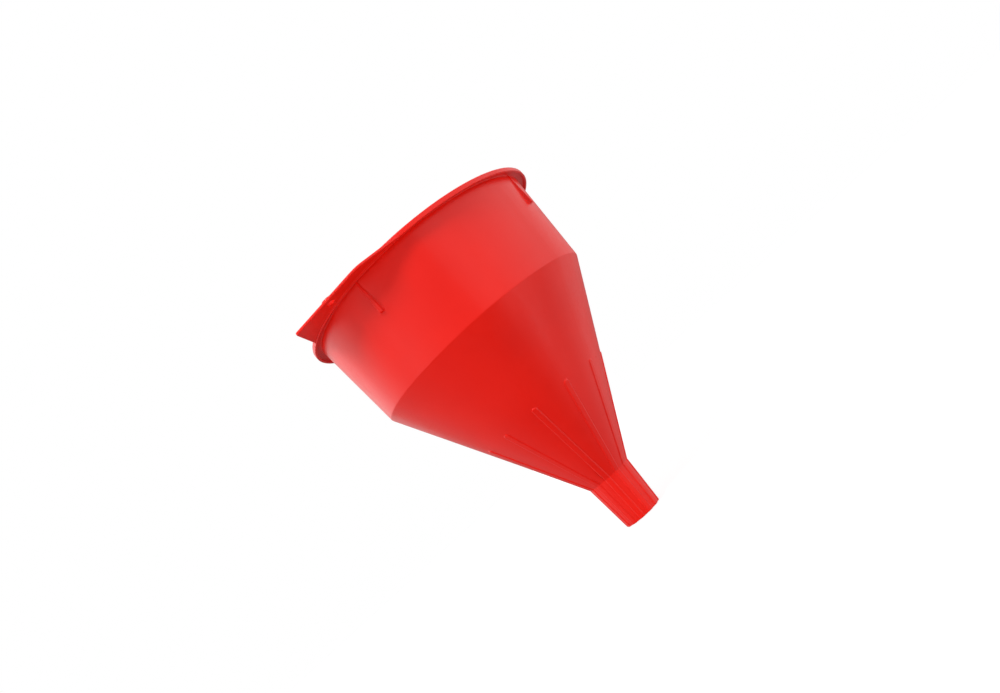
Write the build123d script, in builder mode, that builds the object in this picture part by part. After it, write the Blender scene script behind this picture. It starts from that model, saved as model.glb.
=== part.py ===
"""Two-quart plastic funnel with a lift-out strainer.

The funnel is one moulding: a drafted bowl, a steep cone, a short fluted spout, a turned-down rim
with a hang tab, and stacking lugs. The strainer is a moulded spider that carries a brass gauze
under a snap-in ring and a push-on pull knob, and stands on three ledges inside the cone.

Frame: millimetres, +Z up along the funnel's axis towards the mouth, origin at the centre of the
spout's end face, +X square to the hang tab's straight outer edge.
"""
import os
from dataclasses import dataclass
from math import atan, cos, radians, sin

from build123d import *

# ---- Funnel: heights ------------------------------------------------------------------------
SPOUT_LENGTH = 30.0
CONE_HEIGHT = 110.0
BOWL_HEIGHT = 60.0

# ---- Funnel: diameters over the outside -------------------------------------------------------
RIM_DIA = 170.0
BOWL_BASE_DIA = 150.8
NECK_DIA = 28.6
TIP_DIA = 24.0

# ---- Funnel: walls, rim and rounded edges -----------------------------------------------------
BOWL_WALL = 1.8
CONE_WALL = 1.8
SPOUT_WALL = 1.8
RIM_OVERHANG = 5.2
RIM_THICKNESS = 1.6
LIP_DROP = 3.0
LIP_THICKNESS = 1.5
RIM_EDGE_RADIUS = 0.7
LIP_EDGE_RADIUS = 0.4
SHOULDER_RADIUS = 2.4
NECK_RADIUS = 0.8
INNER_SHOULDER_RADIUS = 1.0
INNER_NECK_RADIUS = 2.0
FLANGE_ROOT_RADIUS = 0.5
TIP_EDGE_RADIUS = 0.4

# ---- Funnel: air ribs on the cone and the spout -------------------------------------------------
RIB_COUNT = 12
RIB_WIDTH = 3.2
RIB_PROUD = 0.5
RIB_ROOT = 0.9
RIB_START_HEIGHT = 87.0
RIB_END_ROUNDING = 0.99

# ---- Funnel: stacking lugs under the rim --------------------------------------------------------
LUG_COUNT = 4
LUG_ANGLE = -5.0
LUG_LENGTH = 21.5
LUG_TOP_PROUD = 0.4
LUG_PROUD = 2.2
LUG_TOP_WIDTH = 1.3
LUG_WIDTH = 2.8
LUG_ROOT = 0.9

# ---- Funnel: hang tab and its eyelet -------------------------------------------------------------
TAB_REACH = 10.4
TAB_THICKNESS = 1.5
TAB_STEP_DOWN = 1.2
TAB_NEAR_ANGLE = 22.0
TAB_FAR_ANGLE = -43.0
TAB_NEAR_CORNER = 5.0
TAB_FAR_CORNER = -45.5
TAB_NEAR_RADIUS = 14.0
TAB_FAR_RADIUS = 2.4
TAB_ROOT = 0.8
EYELET_DIA = 8.4
EYELET_HOLE_DIA = 5.0
EYELET_INSET = 6.0
EYELET_ALONG = -21.0

# ---- Strainer -------------------------------------------------------------------------------------
SEAT_HEIGHT = 52.0
SEAT_COUNT = 3
SEAT_ANGLE = 10.0
SEAT_WIDTH = 3.0
SEAT_REACH = 2.6
SEAT_ROOT = 0.9
STRAINER_GAP = 0.35
FRAME_HEIGHT = 6.0
FRAME_LEDGE_HEIGHT = 2.4
FRAME_SIDE_WALL = 1.6
FRAME_LEDGE_WIDTH = 3.6
FRAME_EDGE_RADIUS = 0.4
SPOKE_ROOT = 0.4
SPOKE_COUNT = 6
SPOKE_ANGLE = 40.0
SPOKE_WIDTH = 1.8
HUB_DIA = 10.0
POST_DIA = 5.0
POST_LENGTH = 12.0
GAUZE_THICKNESS = 0.5
GAUZE_GAP = 0.2
RING_HEIGHT = 2.2
RING_WIDTH = 3.0
RING_GAP = 0.05
RING_EDGE_RADIUS = 0.4
SNAP_HEIGHT = 0.9
SNAP_DEPTH = 0.3
KNOB_FOOT_DIA = 11.0
KNOB_FOOT_HEIGHT = 1.4
KNOB_STEM_DIA = 7.6
KNOB_HEAD_DIA = 14.0
KNOB_HEAD_HEIGHT = 6.0
KNOB_HEIGHT = 24.0
KNOB_GAP = 0.05
KNOB_EDGE_RADIUS = 1.8
FLUTE_COUNT = 10
FLUTE_DIA = 3.4
FLUTE_DEPTH = 0.55


@dataclass(frozen=True)
class Wall:
    """A straight flared wall of a turned shell: two outside circles and a thickness."""

    low_z: float
    low_r: float
    high_z: float
    high_r: float
    thickness: float

    @property
    def slope(self):
        """Outward growth of the radius for each millimetre up the axis."""
        return (self.high_r - self.low_r) / (self.high_z - self.low_z)

    def outer(self, z):
        """Outside radius at a height."""
        return self.low_r + self.slope * (z - self.low_z)

    def inner(self, z):
        """Inside radius at a height, the thickness being square to the wall."""
        return self.outer(z) - self.thickness / cos(atan(self.slope))

    def inner_meets(self, other):
        """Height at which the two inside surfaces cross."""
        return (other.inner(0) - self.inner(0)) / (self.slope - other.slope)


def polar(radius, angle):
    """Plan position of a point given by its radius and its angle from +X."""
    return (radius * cos(radians(angle)), radius * sin(radians(angle)))


# ---- Derived heights, radii and walls ------------------------------------------------------------
cone_base = SPOUT_LENGTH
bowl_base = cone_base + CONE_HEIGHT
mouth_height = bowl_base + BOWL_HEIGHT
rim_radius = RIM_DIA / 2
bowl_top_radius = rim_radius - RIM_OVERHANG
rim_underside = mouth_height - RIM_THICKNESS
lip_bottom = mouth_height - LIP_DROP
lip_inner = rim_radius - LIP_THICKNESS

spout = Wall(0, TIP_DIA / 2, cone_base, NECK_DIA / 2, SPOUT_WALL)
cone = Wall(cone_base, NECK_DIA / 2, bowl_base, BOWL_BASE_DIA / 2, CONE_WALL)
bowl = Wall(bowl_base, BOWL_BASE_DIA / 2, mouth_height, bowl_top_radius, BOWL_WALL)
inner_neck = spout.inner_meets(cone)
inner_shoulder = cone.inner_meets(bowl)

# ---- Air rib: one bar that follows the cone and the spout ----------------------------------------
cone_skew = cos(atan(cone.slope))
rib_crest = Wall(
    cone_base,
    cone.outer(cone_base) + RIB_PROUD / cone_skew,
    bowl_base,
    cone.outer(bowl_base) + RIB_PROUD / cone_skew,
    0,
)
spout_crest = Wall(0, spout.outer(0) + RIB_PROUD, cone_base, spout.outer(cone_base) + RIB_PROUD, 0)
crest_neck = rib_crest.inner_meets(spout_crest)
rib_end_in = (RIB_PROUD + RIB_ROOT) * cone_skew
rib_end_up = (RIB_PROUD + RIB_ROOT) * sin(atan(cone.slope))

with BuildPart() as air_rib:
    with BuildSketch(Plane.XZ):
        with BuildLine():
            Polyline(
                (spout.outer(0) - RIB_ROOT, 0),
                (spout_crest.outer(0), 0),
                (spout_crest.outer(crest_neck), crest_neck),
                (rib_crest.outer(RIB_START_HEIGHT), RIB_START_HEIGHT),
                (
                    rib_crest.outer(RIB_START_HEIGHT) - rib_end_in,
                    RIB_START_HEIGHT + rib_end_up,
                ),
                (spout.outer(cone_base) - RIB_ROOT, cone_base),
                close=True,
            )
        make_face()
    extrude(amount=RIB_WIDTH / 2, both=True)
    rib_end = air_rib.faces().sort_by(Axis.Z)[-1]
    fillet(rib_end.edges().filter_by(Axis.Y, reverse=True), radius=RIB_END_ROUNDING * RIB_WIDTH / 2)

# ---- Stacking lug: a wedge under the rim with a square ledge at its foot -------------------------
lug_foot = rim_underside - LUG_LENGTH

with BuildPart() as stacking_lug:
    with BuildSketch(Plane.XZ):
        with BuildLine():
            Polyline(
                (bowl.outer(lug_foot) - LUG_ROOT, lug_foot),
                (bowl.outer(lug_foot) + LUG_PROUD, lug_foot),
                (bowl.outer(rim_underside) + LUG_TOP_PROUD, rim_underside),
                (bowl.outer(rim_underside) - LUG_ROOT, rim_underside),
                close=True,
            )
        make_face()
    extrude(amount=LUG_WIDTH, both=True)
    with BuildSketch(Plane.YZ):
        with BuildLine():
            Polyline(
                (-LUG_WIDTH / 2, lug_foot),
                (LUG_WIDTH / 2, lug_foot),
                (LUG_TOP_WIDTH / 2, rim_underside),
                (-LUG_TOP_WIDTH / 2, rim_underside),
                close=True,
            )
        make_face()
    extrude(amount=RIM_DIA, mode=Mode.INTERSECT)

# ---- Strainer seat: a gusset on the inside of the cone with a level top --------------------------
seat_inner = cone.inner(SEAT_HEIGHT) - SEAT_REACH
seat_foot = SEAT_HEIGHT - SEAT_REACH / cone.slope

with BuildPart() as strainer_seat:
    with BuildSketch(Plane.XZ):
        with BuildLine():
            Polyline(
                (seat_inner, SEAT_HEIGHT),
                (cone.inner(SEAT_HEIGHT) + SEAT_ROOT, SEAT_HEIGHT),
                (seat_inner + SEAT_ROOT, seat_foot),
                (seat_inner, seat_foot),
                close=True,
            )
        make_face()
    extrude(amount=SEAT_WIDTH / 2, both=True)

# ---- Funnel body: one moulding -------------------------------------------------------------------
tab_top = mouth_height - TAB_STEP_DOWN
tab_edge = rim_radius + TAB_REACH
tab_root_radius = rim_radius - TAB_ROOT
eyelet_centre = (tab_edge - EYELET_INSET, EYELET_ALONG)

with BuildPart() as funnel_body:
    with BuildSketch(Plane.XZ):
        with BuildLine():
            FilletPolyline(
                (spout.outer(0), 0),
                (spout.outer(cone_base), cone_base),
                (cone.outer(bowl_base), bowl_base),
                (bowl.outer(rim_underside), rim_underside),
                (lip_inner, rim_underside),
                (lip_inner, lip_bottom),
                (rim_radius, lip_bottom),
                (rim_radius, mouth_height),
                (bowl.inner(mouth_height), mouth_height),
                (bowl.inner(inner_shoulder), inner_shoulder),
                (spout.inner(inner_neck), inner_neck),
                (spout.inner(0), 0),
                radius=[
                    TIP_EDGE_RADIUS,
                    NECK_RADIUS,
                    SHOULDER_RADIUS,
                    FLANGE_ROOT_RADIUS,
                    LIP_EDGE_RADIUS,
                    LIP_EDGE_RADIUS,
                    LIP_EDGE_RADIUS,
                    RIM_EDGE_RADIUS,
                    RIM_EDGE_RADIUS,
                    INNER_SHOULDER_RADIUS,
                    INNER_NECK_RADIUS,
                    TIP_EDGE_RADIUS,
                ],
                close=True,
            )
        make_face()
    revolve(axis=Axis.Z)
    with PolarLocations(0, RIB_COUNT, start_angle=LUG_ANGLE + 180 / RIB_COUNT):
        add(air_rib.part)
    with PolarLocations(0, LUG_COUNT, start_angle=LUG_ANGLE):
        add(stacking_lug.part)
    with PolarLocations(0, SEAT_COUNT, start_angle=SEAT_ANGLE):
        add(strainer_seat.part)
    with BuildSketch(Plane.XY.offset(tab_top)):
        with BuildLine():
            FilletPolyline(
                polar(tab_root_radius, TAB_NEAR_ANGLE),
                (tab_edge, TAB_NEAR_CORNER),
                (tab_edge, TAB_FAR_CORNER),
                polar(tab_root_radius, TAB_FAR_ANGLE),
                radius=[0, TAB_NEAR_RADIUS, TAB_FAR_RADIUS, 0],
                close=True,
            )
        make_face()
        Circle(tab_root_radius, mode=Mode.SUBTRACT)
    extrude(amount=-TAB_THICKNESS)
    with BuildSketch(Plane.XY.offset(mouth_height)):
        with Locations(eyelet_centre):
            Circle(EYELET_DIA / 2)
    extrude(amount=-TAB_STEP_DOWN - TAB_THICKNESS)
    with Locations((*eyelet_centre, mouth_height)):
        Hole(EYELET_HOLE_DIA / 2, depth=TAB_STEP_DOWN + TAB_THICKNESS)

# ---- Strainer frame: seat ring, spokes, hub and post ---------------------------------------------
ledge_height = SEAT_HEIGHT + FRAME_LEDGE_HEIGHT
frame_top = SEAT_HEIGHT + FRAME_HEIGHT
frame_skin = STRAINER_GAP / cone_skew
recess_radius = cone.inner(ledge_height) - frame_skin - FRAME_SIDE_WALL
flow_radius = recess_radius - FRAME_LEDGE_WIDTH
gauze_top = ledge_height + GAUZE_THICKNESS
snap_height = gauze_top + RING_HEIGHT / 2

with BuildPart() as strainer_frame:
    with BuildSketch(Plane.XZ):
        with BuildLine():
            FilletPolyline(
                (flow_radius, SEAT_HEIGHT),
                (cone.inner(SEAT_HEIGHT) - frame_skin, SEAT_HEIGHT),
                (cone.inner(frame_top) - frame_skin, frame_top),
                (recess_radius, frame_top),
                (recess_radius, snap_height + SNAP_HEIGHT / 2),
                (recess_radius + SNAP_DEPTH, snap_height),
                (recess_radius, snap_height - SNAP_HEIGHT / 2),
                (recess_radius, ledge_height),
                (flow_radius, ledge_height),
                radius=[0, FRAME_EDGE_RADIUS, FRAME_EDGE_RADIUS, FRAME_EDGE_RADIUS, 0, 0, 0, 0, 0],
                close=True,
            )
        make_face()
    revolve(axis=Axis.Z)
    with BuildSketch(Plane.XY.offset(SEAT_HEIGHT)):
        Circle(HUB_DIA / 2)
        with PolarLocations(0, SPOKE_COUNT, start_angle=SPOKE_ANGLE):
            with Locations((flow_radius / 2, 0)):
                Rectangle(flow_radius + SPOKE_ROOT, SPOKE_WIDTH)
    extrude(amount=FRAME_LEDGE_HEIGHT)
    with BuildSketch(Plane.XY.offset(ledge_height)):
        Circle(POST_DIA / 2)
    extrude(amount=POST_LENGTH)
    fillet(strainer_frame.edges().group_by(Axis.Z)[-1], radius=FRAME_EDGE_RADIUS)

# ---- Strainer gauze: a disc of woven wire, drawn as its envelope ---------------------------------
with BuildPart() as strainer_gauze:
    with BuildSketch(Plane.XY.offset(ledge_height)):
        Circle(recess_radius - GAUZE_GAP)
        Circle(POST_DIA / 2 + GAUZE_GAP, mode=Mode.SUBTRACT)
    extrude(amount=GAUZE_THICKNESS)

# ---- Retaining ring: snaps into the groove above the gauze ---------------------------------------
ring_radius = recess_radius - RING_GAP

with BuildPart() as retaining_ring:
    with BuildSketch(Plane.XZ):
        with BuildLine():
            FilletPolyline(
                (ring_radius - RING_WIDTH, gauze_top),
                (ring_radius, gauze_top),
                (ring_radius, snap_height - SNAP_HEIGHT / 2),
                (ring_radius + SNAP_DEPTH, snap_height),
                (ring_radius, snap_height + SNAP_HEIGHT / 2),
                (ring_radius, gauze_top + RING_HEIGHT),
                (ring_radius - RING_WIDTH, gauze_top + RING_HEIGHT),
                radius=[0, 0, 0, 0, 0, 0, RING_EDGE_RADIUS],
                close=True,
            )
        make_face()
    revolve(axis=Axis.Z)

# ---- Pull knob: pushed on the post, its foot clamps the middle of the gauze ----------------------
knob_top = gauze_top + KNOB_HEIGHT
knob_bore_top = ledge_height + POST_LENGTH + KNOB_GAP
knob_bore_radius = POST_DIA / 2 + KNOB_GAP

with BuildPart() as pull_knob:
    with BuildSketch(Plane.XZ):
        with BuildLine():
            FilletPolyline(
                (knob_bore_radius, gauze_top),
                (KNOB_FOOT_DIA / 2, gauze_top),
                (KNOB_FOOT_DIA / 2, gauze_top + KNOB_FOOT_HEIGHT),
                (KNOB_STEM_DIA / 2, gauze_top + KNOB_FOOT_HEIGHT),
                (KNOB_STEM_DIA / 2, knob_top - KNOB_HEAD_HEIGHT),
                (KNOB_HEAD_DIA / 2, knob_top - KNOB_HEAD_HEIGHT),
                (KNOB_HEAD_DIA / 2, knob_top),
                (0, knob_top),
                (0, knob_bore_top),
                (knob_bore_radius, knob_bore_top),
                radius=[
                    0,
                    RING_EDGE_RADIUS,
                    RING_EDGE_RADIUS,
                    KNOB_EDGE_RADIUS / 2,
                    KNOB_EDGE_RADIUS / 2,
                    KNOB_EDGE_RADIUS,
                    KNOB_EDGE_RADIUS,
                    0,
                    0,
                    0,
                ],
                close=True,
            )
        make_face()
    revolve(axis=Axis.Z)
    with BuildSketch(Plane.XY.offset(knob_top)):
        with PolarLocations(KNOB_HEAD_DIA / 2 + FLUTE_DIA / 2 - FLUTE_DEPTH, FLUTE_COUNT):
            Circle(FLUTE_DIA / 2)
    extrude(amount=-KNOB_HEAD_HEIGHT, mode=Mode.SUBTRACT)

# ---- Labels and files ------------------------------------------------------------------------------
NODES = {
    "funnel_body": funnel_body,
    "strainer_frame": strainer_frame,
    "strainer_gauze": strainer_gauze,
    "retaining_ring": retaining_ring,
    "pull_knob": pull_knob,
}
os.makedirs("parts", exist_ok=True)
for node_name, node in NODES.items():
    node.part.label = node_name
    export_step(node.part, f"parts/{node_name}.step")
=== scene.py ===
"""A red moulded fuel funnel with a lift-out gauze strainer, dressed for a studio picture.

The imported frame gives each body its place. This script makes the funnel's moulded shell with its
soft-edged ribs, lugs, rolled rim and hang tab, the fluted knob and the woven gauze, and gives
every piece its finish. Lengths are in metres in the frame's own axes: +Z up the funnel's axis to
the mouth, the origin at the centre of the spout's end face, +X square to the tab's long edge.
"""

import logging
from dataclasses import dataclass
from enum import Enum
from math import atan, cos, degrees, pi, radians, sin, sqrt
from typing import Iterable, Sequence

import bmesh
import bpy
import numpy as np
from mathutils import Matrix, Vector


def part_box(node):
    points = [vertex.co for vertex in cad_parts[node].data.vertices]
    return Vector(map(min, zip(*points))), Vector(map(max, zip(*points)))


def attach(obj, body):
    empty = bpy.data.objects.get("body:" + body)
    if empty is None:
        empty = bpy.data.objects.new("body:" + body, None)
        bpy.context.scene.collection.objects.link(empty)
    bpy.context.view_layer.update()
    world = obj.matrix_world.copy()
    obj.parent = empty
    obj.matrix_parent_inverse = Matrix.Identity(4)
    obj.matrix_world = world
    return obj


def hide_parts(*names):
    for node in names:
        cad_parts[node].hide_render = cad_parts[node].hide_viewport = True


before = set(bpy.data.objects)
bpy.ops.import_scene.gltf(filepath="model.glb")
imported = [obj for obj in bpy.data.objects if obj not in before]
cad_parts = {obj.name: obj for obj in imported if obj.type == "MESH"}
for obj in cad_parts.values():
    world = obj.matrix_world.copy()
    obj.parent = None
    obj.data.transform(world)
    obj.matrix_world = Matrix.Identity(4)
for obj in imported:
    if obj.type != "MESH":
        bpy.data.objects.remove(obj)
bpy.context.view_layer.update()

MM = 0.001
FULL_TURN = 2 * pi
WHITE = (1.0, 1.0, 1.0, 1.0)
BEVEL_SHARE = 0.3  # how far in a rounded edge's middle point stands, as a share of its size
log = logging.getLogger("funnel")

Colour = tuple[float, float, float, float]


class Body(Enum):
    """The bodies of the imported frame."""

    FUNNEL = "funnel"
    STRAINER = "strainer"


class Slot(Enum):
    """The record's material slots named beside this script's own pieces."""

    RED = "red_polyethylene"
    BRASS = "brass_gauze"


class Face(Enum):
    """Which side of the moulding a row of points belongs to."""

    OUTSIDE = "outside"
    RIM = "rim"
    INSIDE = "inside"


# ---- Small numeric helpers ---------------------------------------------------------------------


def smooth(t: np.ndarray | float) -> np.ndarray:
    """Ease from 0 to 1 as t goes from 0 to 1, flat outside that span.

    Args:
        t: The value to ease.

    Returns:
        The eased value, of t's own shape.
    """
    held = np.clip(t, 0.0, 1.0)
    return held * held * (3.0 - 2.0 * held)


def stops(low: float, high: float, step: float, marks: Iterable[float] = ()) -> list[float]:
    """Values from low to high, no further than step apart, with every mark among them.

    Args:
        low: The first value.
        high: The last value, above or below the first.
        step: The widest gap to leave.
        marks: Values that have to be there. Those outside low and high are left out.

    Returns:
        The values in order from low to high.
    """
    sign = 1.0 if high > low else -1.0
    inside = [m for m in marks if 0 < sign * (m - low) < sign * (high - low)]
    fixed = [low, *sorted(inside, reverse=sign < 0), high]
    values = [low]
    for a, b in zip(fixed, fixed[1:]):
        count = max(1, int(np.ceil(abs(b - a) / step)))
        values += list(np.linspace(a, b, count + 1)[1:])
    return values


@dataclass(frozen=True)
class Wall:
    """A straight flared wall of a turned shell: two outside circles and a thickness."""

    low_z: float
    low_r: float
    high_z: float
    high_r: float
    thickness: float

    @property
    def slope(self) -> float:
        """Outward growth of the radius for each metre up the axis."""
        return (self.high_r - self.low_r) / (self.high_z - self.low_z)

    @property
    def skew(self) -> float:
        """Cosine of the wall's lean from the axis."""
        return cos(atan(self.slope))

    def outer(self, z: float) -> float:
        """Outside radius at a height."""
        return self.low_r + self.slope * (z - self.low_z)

    def inner(self, z: float) -> float:
        """Inside radius at a height, the thickness being square to the wall."""
        return self.outer(z) - self.thickness / self.skew

    def inner_meets(self, other: "Wall") -> float:
        """Height at which two walls' inside surfaces cross."""
        return (other.inner(0) - self.inner(0)) / (self.slope - other.slope)


@dataclass(frozen=True)
class Corner:
    """A corner of an outline, with what follows it up to the next corner."""

    r: float
    z: float
    radius: float = 0.0
    face: Face = Face.OUTSIDE
    step: float = 0.1
    marks: tuple[float, ...] = ()


@dataclass(frozen=True)
class Row:
    """A circle of points round the axis, before anything stands proud of it."""

    r: float
    z: float
    face: Face


def turned_rows(corners: Sequence[Corner], arc_steps: int = 4) -> list[Row]:
    """Rows of points along a closed outline with rounded corners.

    Args:
        corners: The outline's corners in order.
        arc_steps: Number of steps along each rounded corner.

    Returns:
        The rows, each with the face that it lies on.
    """
    rows: list[Row] = []
    count = len(corners)
    ends: list[tuple[np.ndarray, np.ndarray]] = []
    for n, corner in enumerate(corners):
        here = np.array([corner.r, corner.z])
        back = np.array([corners[n - 1].r, corners[n - 1].z]) - here
        ahead = np.array([corners[(n + 1) % count].r, corners[(n + 1) % count].z]) - here
        back, ahead = back / np.linalg.norm(back), ahead / np.linalg.norm(ahead)
        half = np.arccos(np.clip(back @ ahead, -1, 1)) / 2
        reach = corner.radius / np.tan(half) if corner.radius else 0.0
        start, end = here + back * reach, here + ahead * reach
        ends.append((start, end))
        if not corner.radius:
            rows.append(Row(*here, corner.face))
            continue
        bisector = (back + ahead) / np.linalg.norm(back + ahead)
        centre = here + bisector * corner.radius / np.sin(half)
        first, last = start - centre, end - centre
        sweep = np.arctan2(first[0] * last[1] - first[1] * last[0], first @ last)
        for angle in np.linspace(0, sweep, arc_steps + 1):
            turn = np.array([[np.cos(angle), -np.sin(angle)], [np.sin(angle), np.cos(angle)]])
            rows.append(Row(*(centre + turn @ first), corner.face))
    # the straight stretches go in between the corners that they join
    out: list[Row] = []
    per_corner = [arc_steps + 1 if c.radius else 1 for c in corners]
    taken = 0
    for n, corner in enumerate(corners):
        out += rows[taken:taken + per_corner[n]]
        taken += per_corner[n]
        start, end = ends[n][1], ends[(n + 1) % count][0]
        rise = end[1] - start[1]
        if abs(rise) > abs(end[0] - start[0]) * 0.05:
            for z in stops(start[1], end[1], corner.step, corner.marks)[1:-1]:
                share = (z - start[1]) / rise
                out.append(Row(start[0] + share * (end[0] - start[0]), z, corner.face))
        else:
            for r in stops(start[0], end[0], corner.step)[1:-1]:
                share = (r - start[0]) / (end[0] - start[0])
                out.append(Row(r, start[1] + share * rise, corner.face))
    return out


# ---- Mesh drafting -----------------------------------------------------------------------------


class MeshDraft:
    """Points and faces of one piece while it is being made."""

    def __init__(self, name: str) -> None:
        """Start an empty draft.

        Args:
            name: The piece's name.
        """
        self.name = name
        self.blocks: list[np.ndarray] = []
        self.count = 0
        self.faces: list[tuple[int, ...]] = []

    def points(self, block: np.ndarray) -> np.ndarray:
        """Add points and return their numbers in the block's own layout.

        Args:
            block: An array whose last axis holds x, y and z.

        Returns:
            An integer array with one number for each point.
        """
        flat = np.asarray(block, float).reshape(-1, 3)
        numbers = np.arange(self.count, self.count + len(flat))
        self.blocks.append(flat)
        self.count += len(flat)
        return numbers.reshape(np.asarray(block).shape[:-1])

    def strip(self, first: Sequence[int], second: Sequence[int], closed: bool = False) -> None:
        """Fill between two equal lines of points, with triangles where corners coincide.

        Args:
            first: The numbers of the points along one line.
            second: The numbers along the other line.
            closed: Whether the lines are loops.
        """
        size = len(first)
        for n in range(size if closed else size - 1):
            m = (n + 1) % size
            ring = [first[n], first[m], second[m], second[n]]
            face = [int(p) for k, p in enumerate(ring) if p != ring[k - 1]]
            if len(face) > 2:
                self.faces.append(tuple(face))

    def grid(self, numbers: np.ndarray, closed_rows: bool = False, closed_columns: bool = False) -> None:
        """Fill a rectangular layout of points with quads.

        Args:
            numbers: The points' numbers, rows by columns.
            closed_rows: Whether the last row joins the first.
            closed_columns: Whether the last column joins the first.
        """
        rows = len(numbers)
        for n in range(rows if closed_rows else rows - 1):
            self.strip(numbers[n], numbers[(n + 1) % rows], closed_columns)

    def finished(self, weighted: bool = True) -> bpy.types.Object:
        """Make the object: unused points dropped, normals outward, smooth shading.

        Args:
            weighted: Whether large faces rule the normals beside small rounded edges.

        Returns:
            The new mesh object, linked to the scene.
        """
        mesh = bpy.data.meshes.new(self.name)
        mesh.from_pydata(np.concatenate(self.blocks).tolist(), [], self.faces)
        work = bmesh.new()
        work.from_mesh(mesh)
        loose = [v for v in work.verts if not v.link_faces]
        bmesh.ops.delete(work, geom=loose, context="VERTS")
        bmesh.ops.recalc_face_normals(work, faces=work.faces)
        for face in work.faces:
            face.smooth = True
        work.to_mesh(mesh)
        work.free()
        piece = bpy.data.objects.new(self.name, mesh)
        bpy.context.scene.collection.objects.link(piece)
        if weighted:
            modifier = piece.modifiers.new("weighted normals", "WEIGHTED_NORMAL")
            modifier.mode = "FACE_AREA"
            modifier.keep_sharp = True
        return piece


def hand_over(piece: bpy.types.Object, body: Body, slot: Slot, *nodes: str) -> bpy.types.Object:
    """Tell the frame what a piece rides on, and hide the CAD nodes that it stands for.

    Args:
        piece: The finished piece.
        body: The body that carries it.
        slot: The record's material slot; not used.
        nodes: The CAD nodes that it stands for.

    Returns:
        The same piece.
    """
    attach(piece, body.value)
    if nodes:
        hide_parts(*nodes)
    log.info("%s: %d faces, rides on %s", piece.name, len(piece.data.polygons), body.value)
    return piece


# ---- The funnel's moulded shell ------------------------------------------------------------------


@dataclass(frozen=True)
class AirRibs:
    """Low ribs down the cone and the spout that let air out of the filler neck."""

    count: int = 12
    width: float = 3.2 * MM
    proud: float = 0.5 * MM
    start_height: float = 87.0 * MM
    edge: float = 0.75 * MM
    side_lines: tuple[float, ...] = (0.0, 0.8, 1.2, 1.36, 1.5, 1.65, 1.8, 1.95)

    def lines(self) -> np.ndarray:
        """Distances from a rib's centre line at which the shell has lines of points."""
        half = np.array(self.side_lines) * MM
        return np.concatenate([-half[:0:-1], half])

    def end_marks(self, skew: float) -> list[float]:
        """Heights of the rows that shape a rib's round upper end.

        Args:
            skew: Cosine of the cone wall's lean.

        Returns:
            The heights in metres.
        """
        below_end = (-0.5, -0.25, 0.0, 0.25, 0.5, 0.8, 1.2, 1.8)
        return [self.start_height - d * MM * skew for d in below_end]

    def lift(self, across: np.ndarray, z: float, skew: float) -> np.ndarray:
        """How far the ribs stand out of the wall.

        Args:
            across: Distances from the nearest rib's centre line.
            z: The row's height.
            skew: Cosine of the wall's lean.

        Returns:
            The outward shift for each point.
        """
        half = self.width / 2
        to_end = (self.start_height - z) / skew
        past = max(0.0, half - to_end)
        reach = np.hypot(across, past)
        return self.proud / skew * smooth((half + self.edge / 2 - reach) / self.edge)


@dataclass(frozen=True)
class StackingLugs:
    """Wedges under the rim that keep nested funnels from jamming."""

    count: int = 4
    angle: float = -5.0
    length: float = 21.5 * MM
    top_proud: float = 0.4 * MM
    foot_proud: float = 2.2 * MM
    top_width: float = 1.3 * MM
    foot_width: float = 2.8 * MM
    side_lines: tuple[float, ...] = (0.0, 0.45, 0.7, 0.85, 0.97, 1.09, 1.21, 1.35)
    soft_from: float = 0.72
    soft_to: float = 1.22
    foot_edge: float = 0.35 * MM

    def half_width(self, z: float, top: float) -> float:
        """Half the lug's width at a height, held below its foot."""
        up = np.clip((z - (top - self.length)) / self.length, 0, 1)
        return ((1 - up) * self.foot_width + up * self.top_width) / 2

    def lines(self, z: float, top: float) -> np.ndarray:
        """Distances from a lug's centre line at which the shell has lines of points."""
        half = np.array(self.side_lines) * self.half_width(z, top)
        return np.concatenate([-half[:0:-1], half])

    def foot_marks(self, top: float) -> list[float]:
        """Heights of the rows that shape a lug's square foot."""
        foot = top - self.length
        return [foot + d * MM for d in (-0.5, -0.15, -0.05, 0.03, 0.1, 0.2, 0.45, 1.0)]

    def lift(self, across: np.ndarray, z: float, top: float) -> np.ndarray:
        """How far the lugs stand out of the bowl's wall.

        Args:
            across: Distances from the nearest lug's centre line.
            z: The row's height.
            top: The height of the rim's underside.

        Returns:
            The outward shift for each point.
        """
        up = (z - (top - self.length)) / self.length
        proud = self.foot_proud + up * (self.top_proud - self.foot_proud)
        from_middle = np.abs(across) / self.half_width(z, top)
        side = smooth((self.soft_to - from_middle) / (self.soft_to - self.soft_from))
        foot = smooth((z - (top - self.length) + self.foot_edge / 2) / self.foot_edge)
        return proud * side * foot


@dataclass(frozen=True)
class StrainerSeats:
    """Three gussets inside the cone, with level tops that the strainer stands on."""

    count: int = 3
    angle: float = 10.0
    height: float = 52.0 * MM
    reach: float = 2.6 * MM
    width: float = 3.0 * MM
    edge: float = 0.3 * MM

    def marks(self, slope: float) -> list[float]:
        """Heights of the rows that shape a seat's level top and sloping foot."""
        foot = self.height - self.reach / slope
        at_top = [self.height + d * MM for d in (0.04, -0.02, -0.3)]
        return [*at_top, foot + 0.4 * MM, foot]

    def shift(self, across: np.ndarray, z: float, wall_radius: float, seat_radius: float) -> np.ndarray:
        """How far the seats stand inward of the cone's inside at a height.

        Args:
            across: Distances from the nearest seat's centre line.
            z: The row's height.
            wall_radius: The inside radius at that height.
            seat_radius: The radius of the seats' inner faces.

        Returns:
            The inward shift for each point.
        """
        if z > self.height or wall_radius < seat_radius:
            return np.zeros_like(across)
        side = smooth((self.width / 2 + self.edge / 2 - np.abs(across)) / self.edge)
        return (wall_radius - seat_radius) * side


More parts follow.
